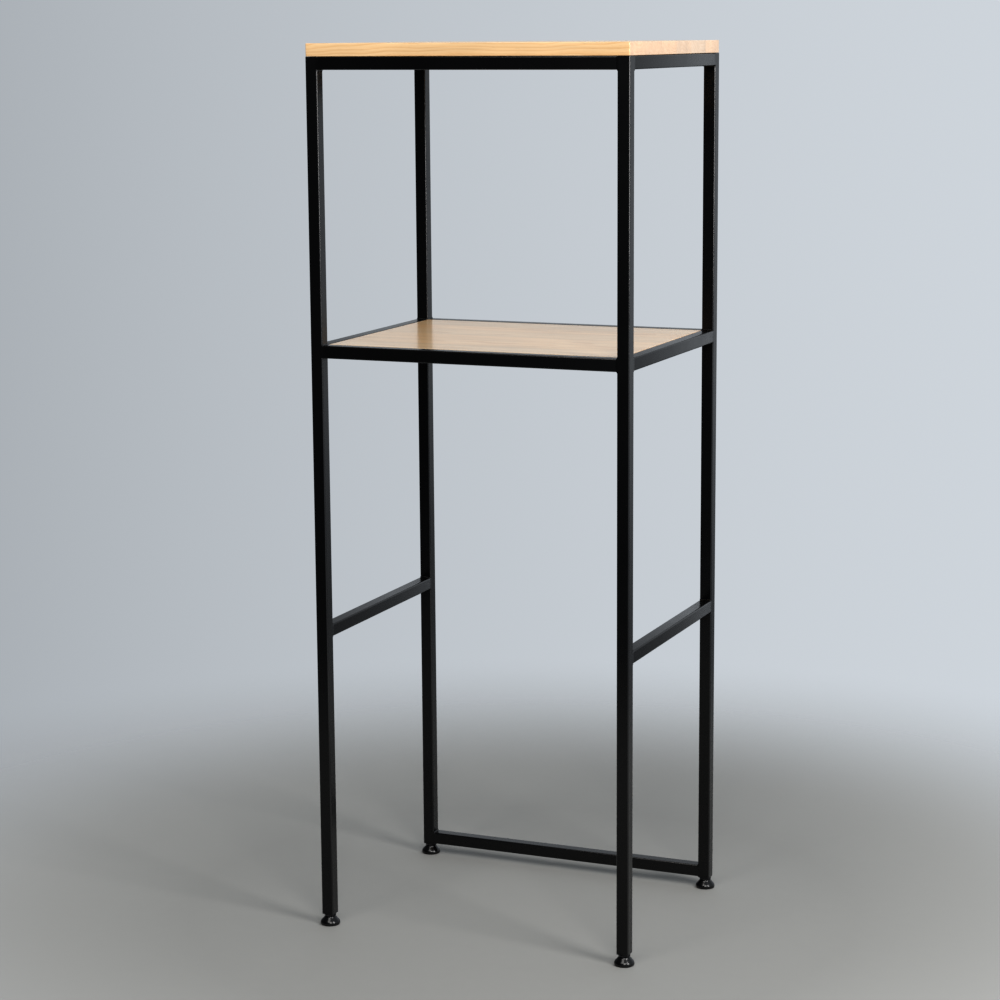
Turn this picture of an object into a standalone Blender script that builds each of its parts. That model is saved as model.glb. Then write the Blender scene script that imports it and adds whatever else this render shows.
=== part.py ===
"""Over the toilet storage rack.

A welded frame of square steel tube stands on four levelling feet. A solid wood board lies on top
of the frame, and a second board is let into a frame of rails below it, on tabs in the corners.

Metres, +Z up. The origin is on the floor under the middle of the rack, and the front faces -Y.
"""

import math

import bmesh
import bpy

# Overall sizes of the frame, and the heights of its rails above the floor
FRAME_WIDTH = 0.530
FRAME_DEPTH = 0.420
LEG_LENGTH = 1.375
SHELF_RAIL_TOP = 0.950
SIDE_RAIL_TOP = 0.500

# Square tube
TUBE = 0.020
TUBE_WALL = 0.0015
TUBE_INNER_CORNER = 0.0003
TUBE_CORNER_SEGMENTS = 3

# Gap left between two pieces that a weld, a screw or their own weight holds together
GAP = 0.0003

# Boards
TOP_BOARD_THICKNESS = 0.020
TOP_BOARD_MARGIN = 0.0005
SHELF_BOARD_THICKNESS = 0.018
SHELF_BOARD_CLEARANCE = 0.001
BOARD_EASE = 0.0006

# Corner tabs that carry the shelf board
TAB_SIDE = 0.045
TAB_THICKNESS = 0.0015
TAB_HOLE_INSET = 0.014

# Screws into the boards. The heads of the top board's lie inside the rails, over access holes
TOP_SCREW_LENGTH = 0.0165
TOP_SCREW_RADIUS = 0.0022
TOP_SCREW_HEAD_RADIUS = 0.0044
TOP_SCREW_INSET = 0.075
ACCESS_HOLE_RADIUS = 0.0052
SHELF_SCREW_LENGTH = 0.0145
SHELF_SCREW_RADIUS = 0.0019
SHELF_SCREW_HEAD_RADIUS = 0.0039
SCREW_HOLE_CLEARANCE = 0.0005
SCREW_HEAD_HEIGHT = 0.0024
SCREW_TIP = 0.005
SCREW_STEPS = 12

# Levelling feet: a pad, a stud with a hexagonal collar, a threaded plug and its nut
PAD_RADIUS = 0.016
PAD_BASE_RADIUS = 0.0146
PAD_TOP_RADIUS = 0.0092
PAD_HEIGHT = 0.0142
PAD_RIM_HEIGHT = 0.0036
PAD_LIP = 0.0018
PAD_STEPS = 24
COLLAR_ACROSS_FLATS = 0.017
COLLAR_HEIGHT = 0.0037
STUD_RADIUS = 0.0036
STUD_LENGTH = 0.030
STUD_NECK_RADIUS = 0.0030
STUD_DISC_RADIUS = 0.0050
STUD_DISC_THICKNESS = 0.0036
NUT_ACROSS_FLATS = 0.013
NUT_THICKNESS = 0.0065
PLUG_HEAD_THICKNESS = 0.0012
PLUG_HEAD_MARGIN = 0.0003
PLUG_LENGTH = 0.0195
PLUG_RIB_DEPTH = 0.0016
PLUG_RIBS = 3
PLUG_BORE_CLEARANCE = 0.0009
RUNNING_CLEARANCE = 0.00009
POCKET_TURN = math.radians(15)
ROUND_STEPS = 24

# Heights above the floor that follow from the sizes
COLLAR_BOTTOM = PAD_HEIGHT + GAP
COLLAR_TOP = COLLAR_BOTTOM + COLLAR_HEIGHT
PLUG_HEAD_BOTTOM = COLLAR_TOP + GAP
LEG_BOTTOM = PLUG_HEAD_BOTTOM + PLUG_HEAD_THICKNESS + GAP
FRAME_TOP = LEG_BOTTOM + LEG_LENGTH

# The sign of X and Y at each corner
CORNERS = {
    "front_left": (-1, -1),
    "front_right": (1, -1),
    "rear_left": (-1, 1),
    "rear_right": (1, 1),
}

# Name, colour, roughness and metallic value of each finish
FINISHES = {
    "black_powder_coat": ((0.012, 0.012, 0.013, 1.0), 0.38, 0.0),
    "black_nylon": ((0.010, 0.010, 0.011, 1.0), 0.45, 0.0),
    "gloss_black_plastic": ((0.008, 0.008, 0.009, 1.0), 0.12, 0.0),
    "zinc_steel": ((0.55, 0.56, 0.58, 1.0), 0.32, 1.0),
    "black_steel": ((0.02, 0.02, 0.022, 1.0), 0.30, 0.6),
    "top_board_wood": ((0.78, 0.54, 0.30, 1.0), 0.40, 0.0),
    "shelf_board_wood": ((0.77, 0.56, 0.34, 1.0), 0.35, 0.0),
}


def clear_scene():
    """Remove every object, so that the rack stands alone."""
    for obj in list(bpy.data.objects):
        bpy.data.objects.remove(obj, do_unlink=True)


def new_collection(name):
    """Make a collection and link it to the scene."""
    collection = bpy.data.collections.new(name)
    bpy.context.scene.collection.children.link(collection)
    return collection


def new_finish(name):
    """Make one Principled BSDF material from the table of finishes."""
    colour, roughness, metallic = FINISHES[name]
    material = bpy.data.materials.new(name)
    material.use_nodes = True
    shader = material.node_tree.nodes["Principled BSDF"]
    shader.inputs["Base Color"].default_value = colour
    shader.inputs["Roughness"].default_value = roughness
    shader.inputs["Metallic"].default_value = metallic
    material.diffuse_color = colour
    return material


class Rack:
    """Holds the two collections, the empty that every part hangs on and the finishes."""

    def __init__(self):
        self.parts = new_collection("over_toilet_rack")
        self.cutters = new_collection("cutters")
        self.origin = bpy.data.objects.new("rack_origin", None)
        self.parts.objects.link(self.origin)
        self.finishes = {name: new_finish(name) for name in FINISHES}

    def add_part(self, name, data, finish, location=(0, 0, 0), rotation=(0, 0, 0)):
        """Put a mesh or a curve in the rack as a named part."""
        obj = bpy.data.objects.new(name, data)
        obj.location = location
        obj.rotation_euler = rotation
        obj.parent = self.origin
        data.materials.append(self.finishes[finish])
        self.parts.objects.link(obj)
        return obj

    def add_cutter(self, name, data, location=(0, 0, 0), rotation=(0, 0, 0)):
        """Put a mesh among the cutters, which are never rendered."""
        obj = bpy.data.objects.new(name, data)
        obj.location = location
        obj.rotation_euler = rotation
        obj.parent = self.origin
        obj.hide_render = True
        obj.display_type = "WIRE"
        self.cutters.objects.link(obj)
        return obj


def combine(obj, other, operation="DIFFERENCE"):
    """Cut another object from this one, or join the two."""
    modifier = obj.modifiers.new(operation.lower() + "_" + other.name, "BOOLEAN")
    modifier.operation = operation
    modifier.solver = "EXACT"
    modifier.object = other


def mesh_from(name, bm):
    """Turn a bmesh into a mesh and free it."""
    mesh = bpy.data.meshes.new(name)
    bm.to_mesh(mesh)
    bm.free()
    return mesh


def box_mesh(name, size, ease=0.0):
    """A box about its own centre, with its edges eased by a small chamfer."""
    bm = bmesh.new()
    bmesh.ops.create_cube(bm, size=1.0)
    bmesh.ops.scale(bm, vec=size, verts=bm.verts)
    if ease:
        bmesh.ops.bevel(bm, geom=bm.edges[:], offset=ease, segments=1, affect="EDGES")
    return mesh_from(name, bm)


def prism_mesh(name, radius, bottom, top, sides):
    """A round or many-sided prism about the Z axis, from one height to another."""
    bm = bmesh.new()
    bmesh.ops.create_cone(
        bm,
        cap_ends=True,
        segments=sides,
        radius1=radius,
        radius2=radius,
        depth=top - bottom,
    )
    bmesh.ops.translate(bm, vec=(0, 0, (bottom + top) / 2), verts=bm.verts)
    return mesh_from(name, bm)


def sleeve_mesh(name, length):
    """The outer skin of a square tube about its own centre, open at both ends."""
    bm = bmesh.new()
    bmesh.ops.create_cube(bm, size=1.0)
    bmesh.ops.scale(bm, vec=(TUBE, TUBE, length), verts=bm.verts)
    long_edges = [e for e in bm.edges if abs(e.verts[0].co.z - e.verts[1].co.z) > length / 2]
    bmesh.ops.bevel(
        bm,
        geom=long_edges,
        offset=TUBE_WALL + TUBE_INNER_CORNER,
        segments=TUBE_CORNER_SEGMENTS,
        profile=0.5,
        affect="EDGES",
    )
    bm.normal_update()
    ends = [f for f in bm.faces if abs(f.normal.z) > 0.9]
    bmesh.ops.delete(bm, geom=ends, context="FACES_ONLY")
    return mesh_from(name, bm)


def add_tube(rack, name, length, location, rotation=(0, 0, 0)):
    """A square tube with its wall thickened inwards, along local Z."""
    tube = rack.add_part(name, sleeve_mesh(name, length), "black_powder_coat", location, rotation)
    wall = tube.modifiers.new("wall", "SOLIDIFY")
    wall.thickness = TUBE_WALL
    wall.offset = -1.0
    wall.use_even_offset = True
    wall.use_rim = True
    return tube


def turned_mesh(name, profile):
    """A profile of (radius, height) points in the XZ plane, for a Screw modifier to turn.

    The points run down the outer side. A profile that starts and ends on the axis stays open, and
    any other is closed into a ring.
    """
    points = [(radius, 0.0, height) for radius, height in profile]
    edges = [(i, i + 1) for i in range(len(points) - 1)]
    if profile[0][0] > 0.0:
        edges.append((len(points) - 1, 0))
    mesh = bpy.data.meshes.new(name)
    mesh.from_pydata(points, edges, [])
    return mesh


def add_turning(obj, steps):
    """Turn an object's profile once about its Z axis."""
    turn = obj.modifiers.new("turn", "SCREW")
    turn.axis = "Z"
    turn.angle = math.tau
    turn.steps = steps
    turn.render_steps = steps
    turn.use_merge_vertices = True
    turn.merge_threshold = 0.00001


def add_polygon(curve, points):
    """Add one closed outline to a flat curve."""
    spline = curve.splines.new("POLY")
    spline.points.add(len(points) - 1)
    for point, (x, y) in zip(spline.points, points):
        point.co = (x, y, 0.0, 1.0)
    spline.use_cyclic_u = True


def circle_points(radius, steps, centre=(0.0, 0.0), turn=0.0):
    """Points evenly spaced on a circle."""
    angles = [turn + math.tau * i / steps for i in range(steps)]
    return [(centre[0] + radius * math.cos(a), centre[1] + radius * math.sin(a)) for a in angles]


def plate_curve(name, outline, hole, thickness):
    """A flat plate with one hole, as a filled curve, about its own mid-plane."""
    curve = bpy.data.curves.new(name, "CURVE")
    curve.dimensions = "2D"
    curve.fill_mode = "BOTH"
    curve.extrude = thickness / 2
    add_polygon(curve, outline)
    add_polygon(curve, hole)
    return curve


def add_legs(rack):
    """Four tubes of the full height of the frame."""
    x = (FRAME_WIDTH - TUBE) / 2
    y = (FRAME_DEPTH - TUBE) / 2
    z = LEG_BOTTOM + LEG_LENGTH / 2
    for corner, (sx, sy) in CORNERS.items():
        add_tube(rack, "leg_" + corner, LEG_LENGTH, (sx * x, sy * y, z))


def add_cross_rail(rack, name, side, top):
    """A rail along X between two legs, at the front (-1) or the rear (1)."""
    length = FRAME_WIDTH - 2 * TUBE - 2 * GAP
    place = (0.0, side * (FRAME_DEPTH - TUBE) / 2, top - TUBE / 2)
    return add_tube(rack, name, length, place, (0, math.radians(90), 0))


def add_side_rail(rack, name, side, top):
    """A rail along Y between two legs, on the left (-1) or the right (1)."""
    length = FRAME_DEPTH - 2 * TUBE - 2 * GAP
    place = (side * (FRAME_WIDTH - TUBE) / 2, 0.0, top - TUBE / 2)
    return add_tube(rack, name, length, place, (math.radians(90), 0, 0))


def add_rail_frame(rack, name, top):
    """Four rails at one height, which tie the four legs together."""
    return {
        "front": add_cross_rail(rack, name + "_front", -1, top),
        "rear": add_cross_rail(rack, name + "_rear", 1, top),
        "left": add_side_rail(rack, name + "_left", -1, top),
        "right": add_side_rail(rack, name + "_right", 1, top),
    }


def screw_profile(length, radius, head_radius):
    """A pan head wood screw pointing up, with the underside of its head at height 0."""
    return [
        (0.0, length),
        (radius, length - SCREW_TIP),
        (radius, 0.0),
        (head_radius, 0.0),
        (head_radius, -0.4 * SCREW_HEAD_HEIGHT),
        (0.7 * head_radius, -SCREW_HEAD_HEIGHT),
        (0.0, -SCREW_HEAD_HEIGHT),
    ]


def add_screw(rack, name, length, radius, head_radius, location):
    """One wood screw, turned from its profile."""
    mesh = turned_mesh(name, screw_profile(length, radius, head_radius))
    add_turning(rack.add_part(name, mesh, "black_steel", location), SCREW_STEPS)


def cut_rail_holes(rack, rail, screw, place):
    """A hole in a rail's upper wall for a screw, and a wider one in its lower wall for the driver."""
    x, y, head_seat = place
    radius = TOP_SCREW_RADIUS + SCREW_HOLE_CLEARANCE
    hole = prism_mesh(screw + "_hole", radius, head_seat, FRAME_TOP + GAP, SCREW_STEPS)
    combine(rail, rack.add_cutter(screw + "_hole", hole, (x, y, 0.0)))
    bottom = FRAME_TOP - TUBE
    top = bottom + TUBE_WALL + GAP
    access = prism_mesh(screw + "_access", ACCESS_HOLE_RADIUS, bottom - GAP, top, ROUND_STEPS)
    combine(rail, rack.add_cutter(screw + "_access", access, (x, y, 0.0)))


def cut_pilot_hole(rack, board, screw, place, radius, length):
    """A blind hole in a board's underside, clear of the screw that goes up into it."""
    x, y, z = place
    underside = board.location.z - board.dimensions.z / 2
    top = z + length + GAP
    hole = prism_mesh(screw + "_pilot", radius + GAP, underside - GAP, top, SCREW_STEPS)
    combine(board, rack.add_cutter(screw + "_pilot", hole, (x, y, 0.0)))


def add_board(rack, name, width, depth, thickness, underside, finish):
    """A board in the middle of the rack, with eased edges."""
    mesh = box_mesh(name, (width, depth, thickness), BOARD_EASE)
    board = rack.add_part(name, mesh, finish, (0.0, 0.0, underside + thickness / 2))
    bpy.context.view_layer.update()
    return board


def top_screw_places():
    """The rail that each of the top board's screws goes through, and where."""
    x = FRAME_WIDTH / 2 - TUBE - TOP_SCREW_INSET
    y = (FRAME_DEPTH - TUBE) / 2
    return {
        "front_left": ("front", (-x, -y)),
        "front_right": ("front", (x, -y)),
        "rear_left": ("rear", (-x, y)),
        "rear_right": ("rear", (x, y)),
        "left": ("left", (-(FRAME_WIDTH - TUBE) / 2, 0.0)),
        "right": ("right", ((FRAME_WIDTH - TUBE) / 2, 0.0)),
    }


def add_top(rack):
    """The top frame, the board that lies on it and the screws that hold the board down."""
    rails = add_rail_frame(rack, "top_rail", FRAME_TOP)
    board = add_board(
        rack,
        "top_board",
        FRAME_WIDTH - 2 * TOP_BOARD_MARGIN,
        FRAME_DEPTH - 2 * TOP_BOARD_MARGIN,
        TOP_BOARD_THICKNESS,
        FRAME_TOP + GAP,
        "top_board_wood",
    )
    head_seat = FRAME_TOP - TUBE_WALL - GAP
    for place, (rail, (x, y)) in top_screw_places().items():
        screw = "top_screw_" + place
        add_screw(
            rack, screw, TOP_SCREW_LENGTH, TOP_SCREW_RADIUS, TOP_SCREW_HEAD_RADIUS, (x, y, head_seat)
        )
        cut_rail_holes(rack, rails[rail], screw, (x, y, head_seat))
        cut_pilot_hole(rack, board, screw, (x, y, head_seat), TOP_SCREW_RADIUS, TOP_SCREW_LENGTH)


def tab_outline(sx, sy):
    """A triangle with its right angle in the corner of the shelf frame, and a screw hole."""
    inner_x = FRAME_WIDTH / 2 - TUBE - GAP
    inner_y = FRAME_DEPTH / 2 - TUBE - GAP
    corner = (sx * inner_x, sy * inner_y)
    along_x = (sx * (inner_x - TAB_SIDE), sy * inner_y)
    along_y = (sx * inner_x, sy * (inner_y - TAB_SIDE))
    hole = (sx * (inner_x - TAB_HOLE_INSET), sy * (inner_y - TAB_HOLE_INSET))
    return [corner, along_x, along_y], hole


def add_shelf(rack):
    """The shelf frame, its corner tabs, and the board that is let into it and screwed down."""
    add_rail_frame(rack, "shelf_rail", SHELF_RAIL_TOP)
    tab_bottom = SHELF_RAIL_TOP - TUBE
    tab_top = tab_bottom + TAB_THICKNESS
    board = add_board(
        rack,
        "shelf_board",
        FRAME_WIDTH - 2 * TUBE - 2 * SHELF_BOARD_CLEARANCE,
        FRAME_DEPTH - 2 * TUBE - 2 * SHELF_BOARD_CLEARANCE,
        SHELF_BOARD_THICKNESS,
        tab_top + GAP,
        "shelf_board_wood",
    )
    for corner, (sx, sy) in CORNERS.items():
        outline, centre = tab_outline(sx, sy)
        hole = circle_points(SHELF_SCREW_RADIUS + SCREW_HOLE_CLEARANCE, SCREW_STEPS, centre)
        tab = plate_curve("shelf_tab_" + corner, outline, hole, TAB_THICKNESS)
        height = (tab_bottom + tab_top) / 2
        rack.add_part("shelf_tab_" + corner, tab, "black_powder_coat", (0.0, 0.0, height))
        screw = "shelf_screw_" + corner
        place = (centre[0], centre[1], tab_bottom - GAP)
        add_screw(
            rack, screw, SHELF_SCREW_LENGTH, SHELF_SCREW_RADIUS, SHELF_SCREW_HEAD_RADIUS, place
        )
        cut_pilot_hole(rack, board, screw, place, SHELF_SCREW_RADIUS, SHELF_SCREW_LENGTH)


def across_corners(across_flats):
    """The corner radius of a hexagon of this width across its flats."""
    return across_flats / 2 / math.cos(math.radians(30))


def pad_profile():
    """A bell: a flat ring to stand on, a rounded rim, a shoulder that swells down from a narrow top
    with the sine of its share of the way, and inside it a socket whose lip holds the stud's disc."""
    socket = STUD_DISC_RADIUS + GAP
    mouth = STUD_NECK_RADIUS + GAP
    ceiling = PAD_HEIGHT - PAD_LIP
    rise = PAD_HEIGHT - PAD_RIM_HEIGHT
    bell = []
    for i in range(8):
        t = i / 7
        swell = math.sin(math.pi / 2 * t ** 0.9)
        bell.append((PAD_TOP_RADIUS + (PAD_RADIUS - PAD_TOP_RADIUS) * swell, PAD_HEIGHT - rise * t))
    chamfer = (PAD_RADIUS - PAD_BASE_RADIUS) / 2
    base = [
        (PAD_RADIUS, PAD_RIM_HEIGHT / 2),
        (PAD_RADIUS - chamfer / 2, chamfer),
        (PAD_BASE_RADIUS, 0.0),
    ]
    inside = [(socket, 0.0), (socket, ceiling), (mouth, ceiling), (mouth, PAD_HEIGHT)]
    return bell + base + inside


def stud_profile():
    """A stud that runs up into the plug from its collar, with a disc below it for the pad."""
    disc_top = PAD_HEIGHT - PAD_LIP - GAP
    disc_bottom = disc_top - STUD_DISC_THICKNESS
    top = COLLAR_TOP + STUD_LENGTH
    chamfer = STUD_RADIUS / 4
    return [
        (0.0, top),
        (STUD_RADIUS - chamfer, top),
        (STUD_RADIUS, top - chamfer),
        (STUD_RADIUS, COLLAR_BOTTOM + COLLAR_HEIGHT / 2),
        (STUD_NECK_RADIUS, COLLAR_BOTTOM + COLLAR_HEIGHT / 2),
        (STUD_NECK_RADIUS, disc_top),
        (STUD_DISC_RADIUS, disc_top),
        (STUD_DISC_RADIUS, disc_bottom),
        (0.0, disc_bottom),
    ]


def plug_profile():
    """A square plug as (half width, height): a full block round the nut, ribs below it that grip
    the tube, and a thin head that covers the tube's end."""
    half = TUBE / 2 - TUBE_WALL - GAP
    core = half - PLUG_RIB_DEPTH
    head = TUBE / 2 - PLUG_HEAD_MARGIN
    shoulder = LEG_BOTTOM - GAP
    block = nut_bottom() - GAP - PLUG_RIB_DEPTH
    pitch = (block - shoulder) / PLUG_RIBS
    profile = [(0.0, shoulder + PLUG_LENGTH), (half, shoulder + PLUG_LENGTH), (half, block)]
    for i in range(PLUG_RIBS):
        above = block - i * pitch
        rib = above - 0.55 * pitch
        profile += [(core, above), (core, rib)]
        if i < PLUG_RIBS - 1:
            profile += [(half, rib), (half, above - pitch)]
    profile += [(core, shoulder), (head, shoulder), (head, PLUG_HEAD_BOTTOM), (0.0, PLUG_HEAD_BOTTOM)]
    return [(half_width * math.sqrt(2), height) for half_width, height in profile]


def nut_bottom():
    """The underside of the nut, which lies in a pocket in the top of the plug."""
    return LEG_BOTTOM - GAP + PLUG_LENGTH - NUT_THICKNESS - GAP


def add_plug(rack, corner, place):
    """The plug in a leg, bored for the stud, with its nut in a hexagonal pocket."""
    name = "leg_insert_" + corner
    plug = rack.add_part(
        name, turned_mesh(name, plug_profile()), "black_nylon", place, (0, 0, math.radians(45))
    )
    add_turning(plug, 4)
    below = PLUG_HEAD_BOTTOM - GAP
    above = LEG_BOTTOM + PLUG_LENGTH + GAP
    bore = prism_mesh(name + "_bore", STUD_RADIUS + PLUG_BORE_CLEARANCE, below, above, ROUND_STEPS)
    combine(plug, rack.add_cutter(name + "_bore", bore, place))
    pocket_radius = across_corners(NUT_ACROSS_FLATS + 2 * GAP)
    pocket = prism_mesh(name + "_pocket", pocket_radius, nut_bottom() - GAP, above, 6)
    combine(plug, rack.add_cutter(name + "_pocket", pocket, place, (0, 0, POCKET_TURN)))
    outline = circle_points(across_corners(NUT_ACROSS_FLATS), 6, turn=math.radians(30))
    hole = circle_points(STUD_RADIUS + RUNNING_CLEARANCE, ROUND_STEPS)
    nut = plate_curve("insert_nut_" + corner, outline, hole, NUT_THICKNESS)
    height = nut_bottom() + NUT_THICKNESS / 2
    rack.add_part(
        "insert_nut_" + corner, nut, "zinc_steel", (place[0], place[1], height), (0, 0, POCKET_TURN)
    )


def add_foot(rack, corner, place):
    """The stud with its collar, and the pad that swivels on it. Both turn about the leg's axis."""
    stud_name = "foot_stud_" + corner
    stud = rack.add_part(
        stud_name, turned_mesh(stud_name, stud_profile()), "black_steel", place
    )
    add_turning(stud, ROUND_STEPS)
    collar_radius = across_corners(COLLAR_ACROSS_FLATS)
    collar = prism_mesh(stud_name + "_collar", collar_radius, COLLAR_BOTTOM, COLLAR_TOP, 6)
    combine(stud, rack.add_cutter(stud_name + "_collar", collar, place), "UNION")
    pad_name = "foot_pad_" + corner
    pad = rack.add_part(
        pad_name, turned_mesh(pad_name, pad_profile()), "gloss_black_plastic", place
    )
    add_turning(pad, PAD_STEPS)


def add_feet(rack):
    """A plug, a nut, a stud and a pad under each leg."""
    x = (FRAME_WIDTH - TUBE) / 2
    y = (FRAME_DEPTH - TUBE) / 2
    for corner, (sx, sy) in CORNERS.items():
        place = (sx * x, sy * y, 0.0)
        add_plug(rack, corner, place)
        add_foot(rack, corner, place)


def main():
    clear_scene()
    rack = Rack()
    add_legs(rack)
    add_top(rack)
    add_shelf(rack)
    add_side_rail(rack, "side_rail_left", -1, SIDE_RAIL_TOP)
    add_side_rail(rack, "side_rail_right", 1, SIDE_RAIL_TOP)
    add_cross_rail(rack, "bottom_rail_rear", 1, LEG_BOTTOM + TUBE)
    add_feet(rack)


main()
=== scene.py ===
"""Looks of an over the toilet storage rack: its surfaces, finishes, floor, lights and camera.

Laid out as an add-on and run as a script. Metres, +Z up, the rack's front faces -Y.
"""

import math

import bpy
import numpy as np
from bpy.props import FloatProperty, FloatVectorProperty, IntProperty, PointerProperty
from mathutils import Matrix, Vector


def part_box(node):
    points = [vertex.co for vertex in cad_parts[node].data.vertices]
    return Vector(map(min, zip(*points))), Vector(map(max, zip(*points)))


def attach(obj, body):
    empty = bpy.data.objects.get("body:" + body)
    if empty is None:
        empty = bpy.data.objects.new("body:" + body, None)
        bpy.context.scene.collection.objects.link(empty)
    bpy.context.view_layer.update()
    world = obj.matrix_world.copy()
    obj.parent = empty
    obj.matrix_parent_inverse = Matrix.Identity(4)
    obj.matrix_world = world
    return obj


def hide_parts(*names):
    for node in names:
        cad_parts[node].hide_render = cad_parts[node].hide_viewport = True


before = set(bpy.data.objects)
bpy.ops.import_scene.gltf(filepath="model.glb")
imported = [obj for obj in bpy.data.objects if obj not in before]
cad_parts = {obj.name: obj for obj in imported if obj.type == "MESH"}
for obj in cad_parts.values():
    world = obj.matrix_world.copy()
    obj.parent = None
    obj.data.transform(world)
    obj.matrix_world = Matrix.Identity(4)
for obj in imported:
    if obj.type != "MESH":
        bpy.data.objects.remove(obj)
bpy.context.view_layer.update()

bl_info = {
    "name": "Over Toilet Rack",
    "version": (1, 0, 0),
    "blender": (4, 5, 0),
    "location": "3D View > Sidebar > Rack",
    "description": "Builds the surfaces, finishes, floor, lights and camera of a storage rack",
    "category": "Object",
}

CORNERS = ("front_left", "front_right", "rear_left", "rear_right")
SIDES = ("front", "rear", "left", "right")
SMOOTH_ANGLE = math.radians(25)
QUARTER = math.pi / 2

# Name, place, the point it faces, width and height, power and colour
SOFTBOXES = (
    ("key_softbox", (2.75, -1.05, 2.2), (0.0, -0.1, 0.9), (0.9, 2.1), 50.0, (1.0, 0.98, 0.96)),
    ("fill_softbox", (1.9, -3.4, 3.5), (0.0, 0.0, 0.9), (1.8, 1.8), 71.0, (1.0, 0.975, 0.94)),
    ("high_softbox", (-0.2, -2.6, 4.0), (0.0, 0.0, 0.9), (1.8, 1.8), 36.0, (1.0, 0.98, 0.95)),
)

# Share of the way from the darkest side of the studio to the brightest, and how bright it is
SKY_STOPS = (
    (0.08, 0.075), (0.25, 0.10), (0.42, 0.32), (0.56, 0.46), (0.68, 0.51), (0.92, 0.53),
)


# Sizes and colours that a user would change


def metres(name, description, default):
    """A setting that is a length."""
    return FloatProperty(name=name, description=description, default=default, unit="LENGTH")


def fraction(name, description, default):
    """A setting that is a share of something."""
    return FloatProperty(name=name, description=description, default=default, subtype="FACTOR")


def degrees(name, description, default):
    """A setting that is an angle."""
    angle = math.radians(default)
    return FloatProperty(name=name, description=description, default=angle, subtype="ANGLE")


def rgb(name, description, default):
    """A setting that is a colour."""
    return FloatVectorProperty(
        name=name, description=description, default=default, subtype="COLOR",
    )


class TubeSettings(bpy.types.PropertyGroup):
    corner: metres("Corner Radius", "Outer radius of the square tube's corners", 0.0021)
    wall: metres("Wall", "Thickness of the tube's wall", 0.0015)
    end_ease: metres("End Ease", "Radius left on the sawn and brushed ends", 0.00025)
    corner_steps: IntProperty(
        name="Corner Steps", description="Faces round each corner of the tube", default=8,
    )


class WeldSettings(bpy.types.PropertyGroup):
    rail_reach: metres("Reach on the Rail", "How far a fillet runs back along the rail", 0.0018)
    leg_reach: metres("Reach on the Leg", "How far a fillet climbs the leg", 0.0018)
    ground_reach: metres(
        "Ground Reach", "How far a ground weld covers the leg's rounded corner", 0.0030,
    )
    ground_height: metres(
        "Ground Height", "What the grinder leaves standing of a flush weld", 0.00005,
    )
    bead_reach: metres("Bead Reach", "How far an upright bead reaches from its corner", 0.0026)
    bead_gap: metres("Bead Gap", "How far a bead stops short of the rails' edges", 0.0008)
    ripple: fraction("Ripple", "Share of a weld's size by which its ripples rise and fall", 0.05)
    ripple_pitch: metres("Ripple Pitch", "Distance between two ripples", 0.0013)


class BoardSettings(bpy.types.PropertyGroup):
    edge: metres("Edge Radius", "Radius sanded on the boards' edges", 0.0008)
    corner: metres("Corner Radius", "Radius sanded on the boards' upright corners", 0.0006)
    stave: metres("Stave Width", "Width of the staves the boards are glued up from", 0.070)
    ring: metres("Ring Spacing", "Distance between two growth rings", 0.0052)
    early: rgb("Early Wood", "Colour of the pale part of each growth ring", (0.84, 0.63, 0.395))
    late: rgb("Late Wood", "Colour of the dark line of each growth ring", (0.69, 0.44, 0.225))


class ScrewSettings(bpy.types.PropertyGroup):
    pitch: metres("Thread Pitch", "Pitch of the wood screws", 0.0018)
    top_crest: metres("Top Thread Radius", "Radius over the top screws' thread", 0.0022)
    shelf_crest: metres("Shelf Thread Radius", "Radius over the shelf screws' thread", 0.0019)
    core: fraction("Core Share", "Core radius as a share of the thread's radius", 0.68)
    head: metres("Head Height", "Height of the pan head", 0.0024)
    tip: metres("Tip", "Length of the pointed tip", 0.005)
    recess: metres("Recess Depth", "Depth of the cross recess", 0.0015)
    hole: metres("Tab Hole", "Radius of the hole for a screw in a shelf tab", 0.0024)


class FootSettings(bpy.types.PropertyGroup):
    pitch: metres("Thread Pitch", "Pitch of the levelling stud", 0.00125)
    crest: metres("Thread Radius", "Radius over the stud's thread", 0.0040)
    depth: metres("Thread Depth", "Depth of the stud's thread", 0.00068)
    collar: metres("Collar", "Width of the hexagonal collar across its flats", 0.017)
    neck: metres("Neck Radius", "Radius of the neck between collar and disc", 0.0030)
    disc: metres("Disc Radius", "Radius of the disc that the pad holds", 0.0050)
    lip: metres("Lip", "Height of the pad's lip, which holds the disc down", 0.0018)
    nut: metres("Nut", "Width of the nut across its flats", 0.013)
    nut_height: metres("Nut Height", "Height of the nut", 0.0065)
    pad_top: metres("Pad Top Radius", "Radius of the pad at its top", 0.0092)
    pad_base: metres(
        "Pad Base Radius", "Outer radius of the ring that stands on the floor", 0.0146,
    )
    clearance: metres("Clearance", "Gap between two pieces of the foot", 0.0003)


class FinishSettings(bpy.types.PropertyGroup):
    coat: rgb("Powder Coat", "Colour of the frame's powder coat", (0.0030, 0.0030, 0.0033))
    coat_worn: rgb(
        "Thin Coat", "Colour where the coat is thin, along the corners", (0.0075, 0.0075, 0.0080),
    )
    steel: rgb("Black Steel", "Colour of the blackened steel", (0.030, 0.030, 0.033))
    zinc: rgb("Zinc", "Colour of the zinc plated nuts", (0.58, 0.60, 0.62))
    nylon: rgb("Nylon", "Colour of the plugs in the legs", (0.0060, 0.0060, 0.0065))
    plastic: rgb("Pad Plastic", "Colour of the pads", (0.0040, 0.0040, 0.0045))


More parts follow.
